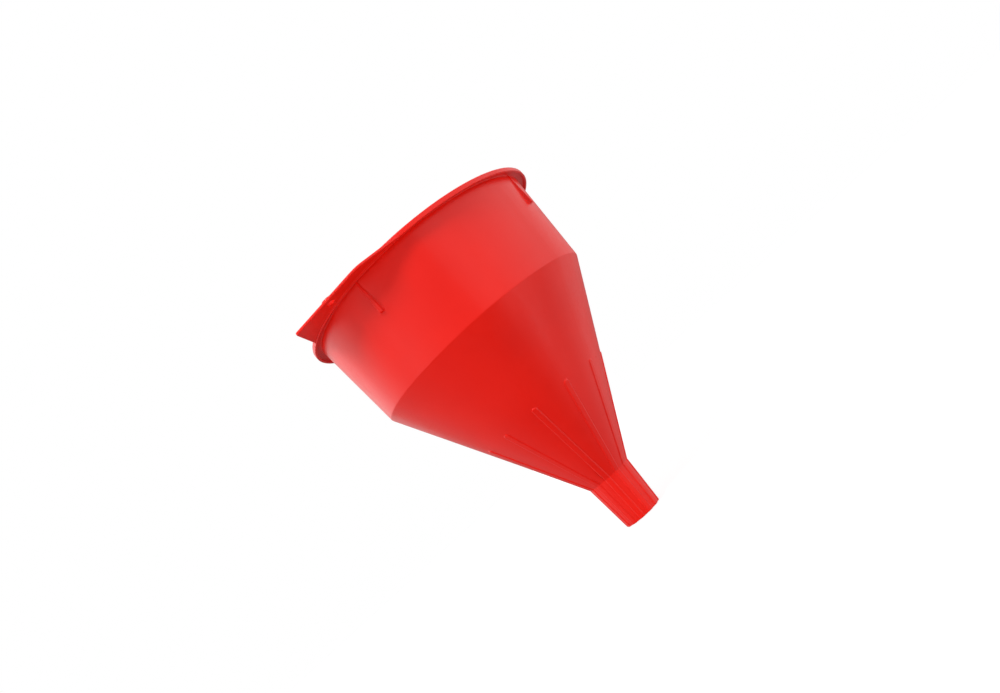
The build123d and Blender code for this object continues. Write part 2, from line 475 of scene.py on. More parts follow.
@dataclass(frozen=True)
class HangTab:
    """The flat tab beside the rim, with a raised eyelet for a nail or a hook."""

    reach: float = 10.4 * MM
    thickness: float = 1.5 * MM
    step_down: float = 1.2 * MM
    near_angle: float = 22.0
    far_angle: float = -43.0
    near_corner: float = 5.0 * MM
    far_corner: float = -45.5 * MM
    near_radius: float = 14.0 * MM
    far_radius: float = 2.4 * MM
    root_sink: float = 0.8 * MM
    edge: float = 0.35 * MM
    depth_steps: int = 22
    eyelet_radius: float = 4.2 * MM
    hole_radius: float = 2.5 * MM
    eyelet_edge: float = 0.3 * MM
    inset: float = 6.0 * MM
    along: float = -21.0 * MM
    block: int = 9

    def outline(self, rim_radius: float) -> np.ndarray:
        """The tab's free outline in plan, from its near root round to its far root.

        Args:
            rim_radius: The rim's outside radius.

        Returns:
            Points in order, as an array of x and y.
        """
        root = rim_radius - self.root_sink
        edge_x = rim_radius + self.reach
        near, far = radians(self.near_angle), radians(self.far_angle)
        corners = [
            Corner(root * cos(far), root * sin(far), step=0.5 * MM),
            Corner(edge_x, self.far_corner, self.far_radius, step=0.5 * MM),
            Corner(edge_x, self.near_corner, self.near_radius, step=0.5 * MM),
            Corner(root * cos(near), root * sin(near)),
            Corner(0.0, 0.0),
        ]
        rows = turned_rows(corners, arc_steps=24)
        return np.array([(row.r, row.z) for row in rows[:-1]])

    def side_path(self, top: float) -> list[tuple[float, float]]:
        """The tab's edge in section, from underneath to on top, as inset and height."""
        low = top - self.thickness
        soft = self.edge
        mid = soft * BEVEL_SHARE
        return [
            (soft, low),
            (mid, low + mid),
            (0.0, low + soft),
            (0.0, top - soft),
            (mid, top - mid),
            (soft, top),
        ]

    def eyelet_path(self, top: float, rim_top: float) -> list[tuple[float, float]]:
        """The eyelet in section, from the tab's top over the boss and down the hole."""
        low = top - self.thickness
        soft = self.eyelet_edge
        mid = soft * BEVEL_SHARE
        boss, hole = self.eyelet_radius, self.hole_radius
        return [
            (boss + soft, top),
            (boss + mid, top + mid),
            (boss, top + soft),
            (boss, rim_top - soft),
            (boss - mid, rim_top - mid),
            (boss - soft, rim_top),
            (hole + soft, rim_top),
            (hole + mid, rim_top - mid),
            (hole, rim_top - soft),
            (hole, low + soft),
            (hole + mid, low + mid),
            (hole + soft, low),
            (boss + soft, low),
        ]


@dataclass
class MouldedShell:
    """The funnel itself: one closed moulding from the spout's end to the rim and the hang tab."""

    spout_length: float = 30.0 * MM
    cone_height: float = 110.0 * MM
    bowl_height: float = 60.0 * MM
    rim_radius: float = 85.0 * MM
    bowl_base_radius: float = 75.4 * MM
    neck_radius: float = 14.3 * MM
    tip_radius: float = 12.0 * MM
    wall: float = 1.8 * MM
    rim_overhang: float = 5.2 * MM
    rim_thickness: float = 1.6 * MM
    lip_drop: float = 3.0 * MM
    lip_thickness: float = 1.5 * MM
    rim_round: float = 0.7 * MM
    lip_round: float = 0.4 * MM
    shoulder_round: float = 2.4 * MM
    inner_shoulder_round: float = 1.0 * MM
    neck_round: float = 0.8 * MM
    inner_neck_round: float = 2.0 * MM
    flange_round: float = 0.5 * MM
    gap_lines: int = 3
    tab_gap_lines: int = 31
    wobble: float = 0.06 * MM
    match_gap: float = 0.0001 * MM
    ribs: AirRibs = AirRibs()
    lugs: StackingLugs = StackingLugs()
    seats: StrainerSeats = StrainerSeats()
    tab: HangTab = HangTab()

    def __post_init__(self) -> None:
        """Work out the walls and heights that the sizes above fix."""
        self.cone_base = self.spout_length
        self.bowl_base = self.cone_base + self.cone_height
        self.mouth = self.bowl_base + self.bowl_height
        self.rim_underside = self.mouth - self.rim_thickness
        self.lip_bottom = self.mouth - self.lip_drop
        self.tab_top = self.mouth - self.tab.step_down
        self.spout = Wall(0, self.tip_radius, self.cone_base, self.neck_radius, self.wall)
        self.cone = Wall(self.cone_base, self.neck_radius, self.bowl_base, self.bowl_base_radius, self.wall)
        self.bowl = Wall(
            self.bowl_base, self.bowl_base_radius, self.mouth, self.rim_radius - self.rim_overhang, self.wall
        )

    def rows(self) -> list[Row]:
        """Rows of points along the shell's section, from the spout's end up the outside and back."""
        inner_neck = self.spout.inner_meets(self.cone)
        inner_shoulder = self.cone.inner_meets(self.bowl)
        lip_inner = self.rim_radius - self.lip_thickness
        lip_marks = [z for _, z in self.tab.side_path(self.tab_top)[1:]]
        out, rim, inside = Face.OUTSIDE, Face.RIM, Face.INSIDE
        rib_marks = tuple(self.ribs.end_marks(self.cone.skew))
        seat_marks = tuple(self.seats.marks(self.cone.slope))
        lug_marks = tuple(self.lugs.foot_marks(self.rim_underside))
        return turned_rows([
            Corner(self.spout.outer(0), 0, self.lip_round, out, 6 * MM),
            Corner(self.neck_radius, self.cone_base, self.neck_round, out, 8 * MM, rib_marks),
            Corner(self.bowl_base_radius, self.bowl_base, self.shoulder_round, out, 6 * MM, lug_marks),
            Corner(self.bowl.outer(self.rim_underside), self.rim_underside, self.flange_round, rim, 2 * MM),
            Corner(lip_inner, self.rim_underside, self.lip_round, rim, 2 * MM),
            Corner(lip_inner, self.lip_bottom, self.lip_round, rim, 1 * MM),
            Corner(self.rim_radius, self.lip_bottom, self.lip_round, rim, 2 * MM, tuple(lip_marks)),
            Corner(self.rim_radius, self.mouth, self.rim_round, rim, 2 * MM),
            Corner(self.bowl.inner(self.mouth), self.mouth, self.rim_round, inside, 8 * MM),
            Corner(
                self.bowl.inner(inner_shoulder), inner_shoulder, self.inner_shoulder_round, inside, 8 * MM,
                seat_marks,
            ),
            Corner(self.spout.inner(inner_neck), inner_neck, self.inner_neck_round, inside, 8 * MM),
            Corner(self.spout.inner(0), 0, self.lip_round, inside, 2 * MM),
        ])

    def half_pitch(self) -> float:
        """Angle between a rib's centre line and the next line midway to its neighbour."""
        return FULL_TURN / (2 * self.ribs.count)

    def has_tab_between(self, low: float, high: float) -> bool:
        """Whether the hang tab stands anywhere between two angles."""
        near, far = radians(self.tab.near_angle), radians(self.tab.far_angle)
        return any(low + turn < near and high + turn > far for turn in (0.0, -FULL_TURN))

    def angles(self, r: float, z: float) -> np.ndarray:
        """Angles of all the lines of points at a radius and a height.

        Lines stand at set distances from each rib and lug, so that they follow their edges, and
        the rest are spread evenly between.

        Args:
            r: The row's radius.
            z: The row's height.

        Returns:
            The angles, rising through one full turn.
        """
        half = self.half_pitch()
        total = 2 * self.ribs.count
        lug_every = total // self.lugs.count
        start = radians(self.lugs.angle)
        groups = []
        for k in range(total + 1):
            across = np.zeros(1)
            if k % 2:
                across = self.ribs.lines()
            elif k % lug_every == 0:
                across = self.lugs.lines(z, self.rim_underside)
            groups.append(start + k * half + np.arcsin(across / r))
        out = []
        for k in range(total):
            low, high = start + k * half, start + (k + 1) * half
            between = self.tab_gap_lines if self.has_tab_between(low, high) else self.gap_lines
            out.append(groups[k])
            out.append(np.linspace(groups[k][-1], groups[k + 1][0], between + 2)[1:-1])
        # the first group's points before its centre line close the turn
        return np.concatenate(out)

    def nearest(self, angles: np.ndarray, count: int, first: float, r: float) -> np.ndarray:
        """Distance across from the nearest of a set of evenly spaced centre lines.

        Args:
            angles: The points' angles.
            count: Number of centre lines in the full turn.
            first: Angle of one of them.
            r: The row's radius.

        Returns:
            The signed distances.
        """
        pitch = FULL_TURN / count
        off = (angles - first + pitch / 2) % pitch - pitch / 2
        return np.where(np.abs(off) < pi / 2, r * np.sin(np.clip(off, -pi / 2, pi / 2)), r)

    def row_points(self, row: Row) -> np.ndarray:
        """Points of one row, with the ribs, lugs and seats standing out of it.

        Args:
            row: The plain row.

        Returns:
            An array of x, y and z.
        """
        angles = self.angles(row.r, row.z)
        r = np.full_like(angles, row.r)
        rib_first = radians(self.lugs.angle) + self.half_pitch()
        if row.face is Face.OUTSIDE:
            skew = self.cone.skew if row.z > self.cone_base else 1.0
            r += self.ribs.lift(self.nearest(angles, self.ribs.count, rib_first, row.r), row.z, skew)
        lug_foot = self.rim_underside - self.lugs.length
        if lug_foot - 1 * MM < row.z < self.rim_underside - 0.01 * MM:
            on_wall = row.face is Face.OUTSIDE or row.r < self.bowl.outer(row.z) + self.flange_round
            if on_wall and row.face is not Face.INSIDE:
                across = self.nearest(angles, self.lugs.count, radians(self.lugs.angle), row.r)
                out = row.r - self.bowl.outer(row.z)
                r += np.maximum(0.0, self.lugs.lift(across, row.z, self.rim_underside) - out)
        if row.face is Face.INSIDE and self.cone_base < row.z < self.bowl_base:
            across = self.nearest(angles, self.seats.count, radians(self.seats.angle), row.r)
            seat_radius = self.cone.inner(self.seats.height) - self.seats.reach
            r -= self.seats.shift(across, row.z, row.r, seat_radius)
        if row.face is not Face.RIM:
            fade = smooth(row.z / self.cone_base) * smooth((self.mouth - row.z) / self.bowl_height)
            wave = np.sin(3 * angles + 0.7) + 0.6 * np.sin(5 * angles + row.z / (35 * MM))
            r += self.wobble * fade * wave
        return np.stack([r * np.cos(angles), r * np.sin(angles), np.full_like(angles, row.z)], axis=-1)

    def build(self) -> bpy.types.Object:
        """Make the shell as one closed mesh.

        Returns:
            The new object.
        """
        draft = MeshDraft("moulded_funnel")
        rows = self.rows()
        body = draft.points(np.array([self.row_points(row) for row in rows]))
        lip = [n for n, row in enumerate(rows) if self.on_lip_face(row)]
        low, high = lip[0], lip[-1]
        ring = self.angles(self.rim_radius, self.tab_top)
        first, last = self.tab_columns(ring)
        columns = len(ring)
        for n in range(len(rows)):
            after = (n + 1) % len(rows)
            if low <= n < high:
                keep = [c % columns for c in range(last, first + columns + 1)]
                draft.strip(body[n][keep], body[after][keep])
            else:
                draft.strip(body[n], body[after], closed=True)
        sector = [c % columns for c in range(first, last + 1)]
        self.add_tab(draft, body[low:high + 1][:, sector], ring[sector])
        return draft.finished()

    def on_lip_face(self, row: Row) -> bool:
        """Whether a row lies where the tab joins the rim's outer face."""
        low = self.lip_bottom + self.lip_round
        at_height = low - self.match_gap < row.z < self.tab_top + self.match_gap
        return row.face is Face.RIM and row.r > self.rim_radius - 0.001 * MM and at_height

    def tab_columns(self, ring: np.ndarray) -> tuple[int, int]:
        """The lines of points at the tab's two roots, the far one first.

        Args:
            ring: The rim's angles.

        Returns:
            Two column numbers; the second is past the last column where the tab spans the seam.
        """
        columns = []
        for angle in (self.tab.far_angle, self.tab.near_angle):
            off = (ring - radians(angle) % FULL_TURN + pi) % FULL_TURN - pi
            columns.append(int(np.argmin(np.abs(off))))
        first, last = columns
        return first, last if last > first else last + len(ring)

    def add_tab(self, draft: MeshDraft, root: np.ndarray, angles: np.ndarray) -> None:
        """Add the tab and its eyelet to the shell, joined to the rim's outer face.

        Args:
            draft: The shell's mesh so far.
            root: Numbers of the rim's points in the tab's sector, rows by columns.
            angles: Angles of those columns.
        """
        tab = self.tab
        angles = (angles + pi) % FULL_TURN - pi
        plan = tab.outline(self.rim_radius)
        around = np.arctan2(plan[:, 1], plan[:, 0])
        reach = np.interp(angles, around, np.hypot(plan[:, 0], plan[:, 1]))
        reach = np.maximum(reach, self.rim_radius)
        edge = np.stack([reach * np.cos(angles), reach * np.sin(angles)], axis=-1)
        along = np.gradient(edge, axis=0)
        outward = np.stack([along[:, 1], -along[:, 0]], axis=-1)
        outward /= np.linalg.norm(outward, axis=-1, keepdims=True)
        depth = reach - self.rim_radius
        sides = []
        for n, (inset, z) in enumerate(tab.side_path(self.tab_top)):
            held = np.minimum(inset, depth * 0.5)[:, None]
            line = np.c_[edge - outward * held, np.full(len(edge), z)]
            numbers = draft.points(line)
            numbers[0], numbers[-1] = root[n][0], root[n][-1]
            sides.append(numbers)
        for below, above in zip(sides, sides[1:]):
            draft.strip(below, above)
        rim = self.rim_radius * np.stack([np.cos(angles), np.sin(angles)], axis=-1)
        top = self.tab_sheet(draft, root[-1], sides[-1], rim, edge, outward, depth, self.tab_top)
        under = self.tab_top - tab.thickness
        low = self.tab_sheet(draft, root[0], sides[0], rim, edge, outward, depth, under)
        centre = np.array([self.rim_radius + tab.reach - tab.inset, tab.along])
        column = int(np.argmin(np.abs(angles - np.arctan2(centre[1], centre[0]))))
        row = round(tab.depth_steps * (np.hypot(*centre) - self.rim_radius) / depth[column])
        rings = [self.block_loop(sheet, row, column, tab.block) for sheet in (top, low)]
        points = np.concatenate(draft.blocks)[rings[0]][:, :2] - centre
        turn = np.arctan2(points[:, 1], points[:, 0])
        lines = [rings[0]]
        for radius, z in tab.eyelet_path(self.tab_top, self.mouth):
            circle = centre + radius * np.stack([np.cos(turn), np.sin(turn)], axis=-1)
            lines.append(draft.points(np.c_[circle, np.full(len(circle), z)]))
        lines.append(rings[1])
        for one, other in zip(lines, lines[1:]):
            draft.strip(one, other, closed=True)
        for sheet in (top, low):
            self.fill_round_block(draft, sheet, row, column, tab.block)

    def tab_sheet(
        self,
        draft: MeshDraft,
        root: np.ndarray,
        side: np.ndarray,
        rim: np.ndarray,
        edge: np.ndarray,
        outward: np.ndarray,
        depth: np.ndarray,
        z: float,
    ) -> np.ndarray:
        """Points of the tab's top or underside, from the rim out to its rounded edge.

        Args:
            draft: The shell's mesh so far.
            root: Numbers of the points at the rim.
            side: Numbers of the points at the rounded edge.
            rim: Plan positions at the rim.
            edge: Plan positions on the outline.
            outward: The outline's outward directions.
            depth: The tab's depth on each line.
            z: The sheet's height.

        Returns:
            The sheet's numbers, from the rim outwards.
        """
        free = edge - outward * np.minimum(self.tab.edge, depth * 0.5)[:, None]
        lines = [root]
        for step in range(1, self.tab.depth_steps):
            share = step / self.tab.depth_steps
            plan = rim + share * (free - rim)
            numbers = draft.points(np.c_[plan, np.full(len(plan), z)])
            numbers[0], numbers[-1] = root[0], root[-1]
            lines.append(numbers)
        lines.append(side)
        return np.array(lines)

    def block_loop(self, sheet: np.ndarray, row: int, column: int, half: int) -> np.ndarray:
        """Numbers round the square block of a sheet that the eyelet takes up."""
        up, down = row - half, row + half
        left, right = column - half, column + half
        return np.concatenate([
            sheet[up, left:right],
            sheet[up:down, right],
            sheet[down, right:left:-1],
            sheet[down:up:-1, left],
        ])

    def fill_round_block(
        self, draft: MeshDraft, sheet: np.ndarray, row: int, column: int, half: int
    ) -> None:
        """Fill a sheet with faces, all but the eyelet's block.

        Args:
            draft: The shell's mesh so far.
            sheet: The sheet's numbers.
            row: The block's middle row.
            column: The block's middle column.
            half: Half the block's width in cells.
        """
        for n in range(len(sheet) - 1):
            if row - half <= n < row + half:
                draft.strip(sheet[n][:column - half + 1], sheet[n + 1][:column - half + 1])
                draft.strip(sheet[n][column + half:], sheet[n + 1][column + half:])
            else:
                draft.strip(sheet[n], sheet[n + 1])


# ---- The strainer's own pieces -------------------------------------------------------------------


@dataclass
class WovenGauze:
    """A disc of plain-woven brass wire with a hole for the strainer's post."""

    pitch: float = 1.25 * MM
    steps_per_pitch: int = 4
    wire_sides: int = 6
    hole_radius: float = 2.7 * MM

    def __post_init__(self) -> None:
        """Take the disc's size and place from its CAD node."""
        low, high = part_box("strainer_gauze")
        self.radius = (high.x - low.x) / 2
        self.middle = (high.z + low.z) / 2
        self.wire_radius = (high.z - low.z) / 4

    def spans(self, off: float) -> list[tuple[float, float]]:
        """Where a wire at a distance from the centre runs, clear of the hole."""
        end = sqrt(self.radius**2 - off**2)
        if abs(off) >= self.hole_radius:
            return [(-end, end)]
        gap = sqrt(self.hole_radius**2 - off**2)
        return [(-end, -gap), (gap, end)]

    def add_wire(
        self, draft: MeshDraft, off: float, span: tuple[float, float], over: int, turned: bool
    ) -> None:
        """Add one wavy wire with capped ends.

        Args:
            draft: The gauze's mesh so far.
            off: The wire's distance from the centre line.
            span: Where it starts and ends.
            over: 0 or 1, which says whether it starts over or under its neighbours.
            turned: Whether it runs along Y in place of X.
        """
        step = self.pitch / self.steps_per_pitch
        run = np.linspace(*span, max(3, int(np.ceil((span[1] - span[0]) / step)) + 1))
        wave = self.wire_radius * np.cos(pi * run / self.pitch + pi * over)
        lean = np.arctan(-self.wire_radius * pi / self.pitch * np.sin(pi * run / self.pitch + pi * over))
        turn = np.arange(self.wire_sides) * FULL_TURN / self.wire_sides
        side, up = self.wire_radius * np.cos(turn), self.wire_radius * np.sin(turn)
        x = run[:, None] - np.sin(lean)[:, None] * up
        y = off + np.broadcast_to(side, x.shape)
        z = self.middle + wave[:, None] + np.cos(lean)[:, None] * up
        numbers = draft.points(np.stack([y, x, z] if turned else [x, y, z], axis=-1))
        draft.grid(numbers, closed_columns=True)
        draft.faces += [tuple(int(p) for p in numbers[0]), tuple(int(p) for p in numbers[-1][::-1])]

    def build(self) -> bpy.types.Object:
        """Weave the disc.

        Returns:
            The new object.
        """
        draft = MeshDraft("woven_gauze")
        count = int((self.radius - self.wire_radius) / self.pitch - 0.5)
        for turned in (False, True):
            for n in range(-count - 1, count + 1):
                off = (n + 0.5) * self.pitch
                for span in self.spans(off):
                    self.add_wire(draft, off, span, (n + turned) % 2, turned)
        return draft.finished(weighted=False)


@dataclass
class PullKnob:
    """The knob that lifts the strainer: a turned stem and foot under a fluted head."""

    foot_radius: float = 5.5 * MM
    foot_height: float = 1.4 * MM
    stem_radius: float = 3.8 * MM
    head_height: float = 6.0 * MM
    bore_radius: float = 2.55 * MM
    bore_depth: float = 11.55 * MM
    soft: float = 0.4 * MM
    crown: float = 1.8 * MM
    flutes: int = 10
    flute_radius: float = 1.7 * MM
    flute_depth: float = 0.55 * MM
    lines_per_flute: int = 12
    axis_gap: float = 0.01 * MM

    def build(self) -> bpy.types.Object:
        """Turn the knob and flute its head.

        Returns:
            The new object.
        """
        low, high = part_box("pull_knob")
        head_radius = (high.y - low.y) / 2
        under = high.z - self.head_height
        bore_top = low.z + self.bore_depth
        rows = turned_rows([
            Corner(self.bore_radius, low.z, 0.0),
            Corner(self.foot_radius, low.z, self.soft),
            Corner(self.foot_radius, low.z + self.foot_height, self.soft),
            Corner(self.stem_radius, low.z + self.foot_height, self.crown / 2, step=3 * MM),
            Corner(self.stem_radius, under, self.crown / 2),
            Corner(head_radius, under, self.crown, Face.RIM, step=0.8 * MM),
            Corner(head_radius, high.z, self.crown, Face.RIM, step=2 * MM),
            Corner(self.axis_gap, high.z),
            Corner(self.axis_gap, bore_top),
            Corner(self.bore_radius, bore_top),
        ], arc_steps=6)
        columns = self.flutes * self.lines_per_flute
        angles = np.arange(columns) * FULL_TURN / columns
        flute_centre = head_radius + self.flute_radius - self.flute_depth
        turn = FULL_TURN / self.flutes
        off = (angles + turn / 2) % turn - turn / 2
        inside = self.flute_radius**2 - (flute_centre * np.sin(off)) ** 2
        scallop = flute_centre * np.cos(off) - np.sqrt(np.maximum(inside, 0.0))
        scallop = np.where(inside > 0.0, scallop, 2 * head_radius)
        block = []
        for row in rows:
            r = np.full(columns, row.r)
            if row.face is Face.RIM:
                r = row.r - np.maximum(row.r - scallop, 0.0)
            heights = np.full(columns, row.z)
            block.append(np.stack([r * np.cos(angles), r * np.sin(angles), heights], axis=-1))
        draft = MeshDraft("fluted_knob")
        draft.grid(draft.points(np.array(block)), closed_rows=True, closed_columns=True)
        return draft.finished()


# ---- Node building --------------------------------------------------------------------------------


class NodeGraph:
    """A node tree that is being wired up, laid out from left to right."""

    def __init__(self, tree: bpy.types.NodeTree) -> None:
        """Start from an empty tree.

        Args:
            tree: The tree to fill.
        """
        self.tree = tree
        tree.nodes.clear()

    def add(
        self, kind: str, inputs: dict[str | int, object] | None = None, **settings: object
    ) -> bpy.types.Node:
        """Add a node.

        Args:
            kind: The node's type name, without its ShaderNode prefix.
            inputs: Socket values, or sockets to link from, by input name or number.
            settings: The node's own properties.

        Returns:
            The new node.
        """
        name = kind if kind.startswith("Node") else f"ShaderNode{kind}"
        node = self.tree.nodes.new(name)
        node.location = (180 * (len(self.tree.nodes) % 12), -220 * (len(self.tree.nodes) // 12))
        for key, value in settings.items():
            setattr(node, key, value)
        for key, value in (inputs or {}).items():
            if isinstance(value, bpy.types.NodeSocket):
                self.tree.links.new(value, node.inputs[key])
            else:
                node.inputs[key].default_value = value
        return node

    def math(self, operation: str, *terms: object, clamp: bool = False) -> bpy.types.NodeSocket:
        """Add a Math node and return its result.

        Args:
            operation: The operation's name.
            terms: Numbers or sockets.
            clamp: Whether the result is held from 0 to 1.

        Returns:
            The result's socket.
        """
        node = self.add("Math", dict(enumerate(terms)), operation=operation, use_clamp=clamp)
        return node.outputs[0]

    def ease(
        self, value: bpy.types.NodeSocket, low: float, high: float, to_low: float = 0.0, to_high: float = 1.0
    ) -> bpy.types.NodeSocket:
        """Map a span of values smoothly onto another.

        Args:
            value: The socket to map.
            low: Where the span starts.
            high: Where it ends.
            to_low: The result at its start.
            to_high: The result at its end.

        Returns:
            The mapped value's socket.
        """
        spans = {"From Min": low, "From Max": high, "To Min": to_low, "To Max": to_high}
        node = self.add("MapRange", {"Value": value, **spans}, interpolation_type="SMOOTHSTEP")
        return node.outputs["Result"]

    def mix_colour(self, share: object, first: object, second: object) -> bpy.types.NodeSocket:
        """Mix two colours.

        Args:
            share: How much of the second, as a number or a socket.
            first: The first colour or socket.
            second: The second colour or socket.

        Returns:
            The mixed colour's socket.
        """
        node = self.add("Mix", {0: share, 6: first, 7: second}, data_type="RGBA")
        return node.outputs[2]

    def noise(
        self, vector: object, scale: object, detail: float, roughness: float = 0.5, distortion: float = 0.0
    ) -> bpy.types.NodeSocket:
        """Add a noise texture.

        Args:
            vector: The place to read it at.
            scale: Its cells per metre.
            detail: How many finer layers it has.
            roughness: How strong the finer layers are.
            distortion: How far it is drawn out of shape.

        Returns:
            The noise value's socket.
        """
        values = {"Vector": vector, "Scale": scale, "Detail": detail}
        values |= {"Roughness": roughness, "Distortion": distortion}
        return self.add("TexNoise", values).outputs[0]


def new_group(
    name: str, inputs: dict[str, float | None], outputs: Sequence[str]
) -> tuple[NodeGraph, bpy.types.Node, bpy.types.Node]:
    """Start a shader node group.

    Args:
        name: The group's name.
        inputs: Names with default numbers; None makes a vector input.
        outputs: Names of the values that it puts out.

    Returns:
        The graph to fill, its input node and its output node.
    """
    tree = bpy.data.node_groups.new(name, "ShaderNodeTree")
    for key, value in inputs.items():
        kind = "NodeSocketVector" if value is None else "NodeSocketFloat"
        socket = tree.interface.new_socket(name=key, in_out="INPUT", socket_type=kind)
        if value is not None:
            socket.default_value = value
    for key in outputs:
        tree.interface.new_socket(name=key, in_out="OUTPUT", socket_type="NodeSocketFloat")
    graph = NodeGraph(tree)
    return graph, graph.add("NodeGroupInput"), graph.add("NodeGroupOutput")


def make_moulded_grain() -> bpy.types.NodeTree:
    """Build the group for a moulded skin: fine orange peel over slow flow of the melt.

    Returns:
        The group, which puts out a Height and a Sheen mask.
    """
    inputs = {"Vector": None, "Peel Size": 0.0012, "Flow Size": 0.02, "Stretch": 0.2}
    graph, given, out = new_group("moulded_grain", inputs, ("Height", "Sheen"))
    place = given.outputs["Vector"]
    peel = graph.noise(place, graph.math("DIVIDE", 1.0, given.outputs["Peel Size"]), 2.0, 0.55)
    squeeze = graph.add("CombineXYZ", {"X": 1.0, "Y": 1.0, "Z": given.outputs["Stretch"]})
    drawn = graph.add("VectorMath", {0: place, 1: squeeze.outputs[0]}, operation="MULTIPLY")
    flow_scale = graph.math("DIVIDE", 1.0, given.outputs["Flow Size"])
    flow = graph.noise(drawn.outputs[0], flow_scale, 4.0, 0.6, 0.6)
    height = graph.math("ADD", graph.math("MULTIPLY", peel, 0.35), graph.math("MULTIPLY", flow, 0.65))
    blend = graph.math("ADD", graph.math("MULTIPLY", peel, 0.4), graph.math("MULTIPLY", flow, 0.6))
    sheen = graph.ease(blend, 0.3, 0.7)
    graph.tree.links.new(height, out.inputs["Height"])
    graph.tree.links.new(sheen, out.inputs["Sheen"])
    return graph.tree


def make_handling_wear() -> bpy.types.NodeTree:
    """Build the group for use: hairline scratches, and rubbed outer edges.

    Returns:
        The group, which puts out Scratches and Edges masks.
    """
    inputs = {"Vector": None, "Hair Size": 0.006, "Edge Start": 0.52, "Edge Full": 0.6}
    graph, given, out = new_group("handling_wear", inputs, ("Scratches", "Edges"))
    place = given.outputs["Vector"]
    scale = graph.math("DIVIDE", 1.0, given.outputs["Hair Size"])
    masks = []
    for tilt, stretch in ((0.4, 0.06), (1.9, 0.09)):
        turns = (tilt, 0.7 * tilt, 1.3 * tilt)
        turned = graph.add("Mapping", {"Vector": place, "Rotation": turns, "Scale": (1.0, stretch, 1.0)})
        lattice = {"Vector": turned.outputs[0], "Scale": scale}
        cells = graph.add("TexVoronoi", lattice, feature="DISTANCE_TO_EDGE")
        hair = graph.ease(cells.outputs["Distance"], 0.0, 0.012, 1.0, 0.0)
        cloud = graph.noise(turned.outputs[0], graph.math("MULTIPLY", scale, 0.35), 2.0)
        patch = graph.ease(cloud, 0.52, 0.66)
        masks.append(graph.math("MULTIPLY", hair, patch))
    scratches = graph.math("MAXIMUM", *masks)
    bend = graph.add("NewGeometry").outputs["Pointiness"]
    span = {"Value": bend, "From Min": given.outputs["Edge Start"], "From Max": given.outputs["Edge Full"]}
    rubbed = graph.add("MapRange", span, interpolation_type="SMOOTHSTEP").outputs["Result"]
    broken = graph.ease(graph.noise(place, graph.math("MULTIPLY", scale, 1.7), 5.0, 0.65), 0.35, 0.65)
    graph.tree.links.new(scratches, out.inputs["Scratches"])
    graph.tree.links.new(graph.math("MULTIPLY", rubbed, broken), out.inputs["Edges"])
    return graph.tree


# ---- Finishes ---------------------------------------------------------------------------------------


@dataclass(frozen=True)
class MouldedPlastic:
    """A moulded plastic with its skin, its flow marks and the wear of use."""

    name: str
    colour: Colour
    deep_colour: Colour
    worn_colour: Colour
    gloss_roughness: float
    dull_roughness: float
    ior: float
    peel_size: float
    flow_size: float
    peel_depth: float
    scratch_dulling: float
    edge_wear: float

    def make(self, grain: bpy.types.NodeTree, wear: bpy.types.NodeTree) -> bpy.types.Material:
        """Build the material.

        Args:
            grain: The moulded_grain group.
            wear: The handling_wear group.

        Returns:
            The new material.
        """
        material = bpy.data.materials.new(self.name)
        material.use_nodes = True
        graph = NodeGraph(material.node_tree)
        place = graph.add("TexCoord").outputs["Object"]
        skin = graph.add("Group", node_tree=grain)
        use = graph.add("Group", node_tree=wear)
        for node in (skin, use):
            graph.tree.links.new(place, node.inputs["Vector"])
        skin.inputs["Peel Size"].default_value = self.peel_size
        skin.inputs["Flow Size"].default_value = self.flow_size
        cloud = graph.ease(graph.noise(place, 1 / (4 * self.flow_size), 3.0, 0.5), 0.3, 0.7)
        base = graph.mix_colour(cloud, self.colour, self.deep_colour)
        worn = graph.math("MULTIPLY", use.outputs["Edges"], self.edge_wear)
        base = graph.mix_colour(worn, base, self.worn_colour)
        fine = graph.math("MULTIPLY", use.outputs["Scratches"], 0.35 * self.edge_wear)
        base = graph.mix_colour(fine, base, self.worn_colour)
        rough = graph.ease(skin.outputs["Sheen"], 0.0, 1.0, self.gloss_roughness, self.dull_roughness)
        dulled = graph.math("MULTIPLY", use.outputs["Scratches"], self.scratch_dulling)
        wearing = graph.math("ADD", dulled, graph.math("MULTIPLY", worn, 0.25))
        rough = graph.math("ADD", rough, wearing, clamp=True)
        cut = graph.math("MULTIPLY", use.outputs["Scratches"], -0.4)
        height = graph.math("ADD", skin.outputs["Height"], cut)
        bump = graph.add("Bump", {"Height": height, "Strength": 1.0, "Distance": self.peel_depth})
        shader = graph.add("BsdfPrincipled", {
            "Base Color": base, "Roughness": rough, "Normal": bump.outputs["Normal"],
            "IOR": self.ior,
        })
        out = graph.add("OutputMaterial")
        graph.tree.links.new(shader.outputs["BSDF"], out.inputs["Surface"])
        return material


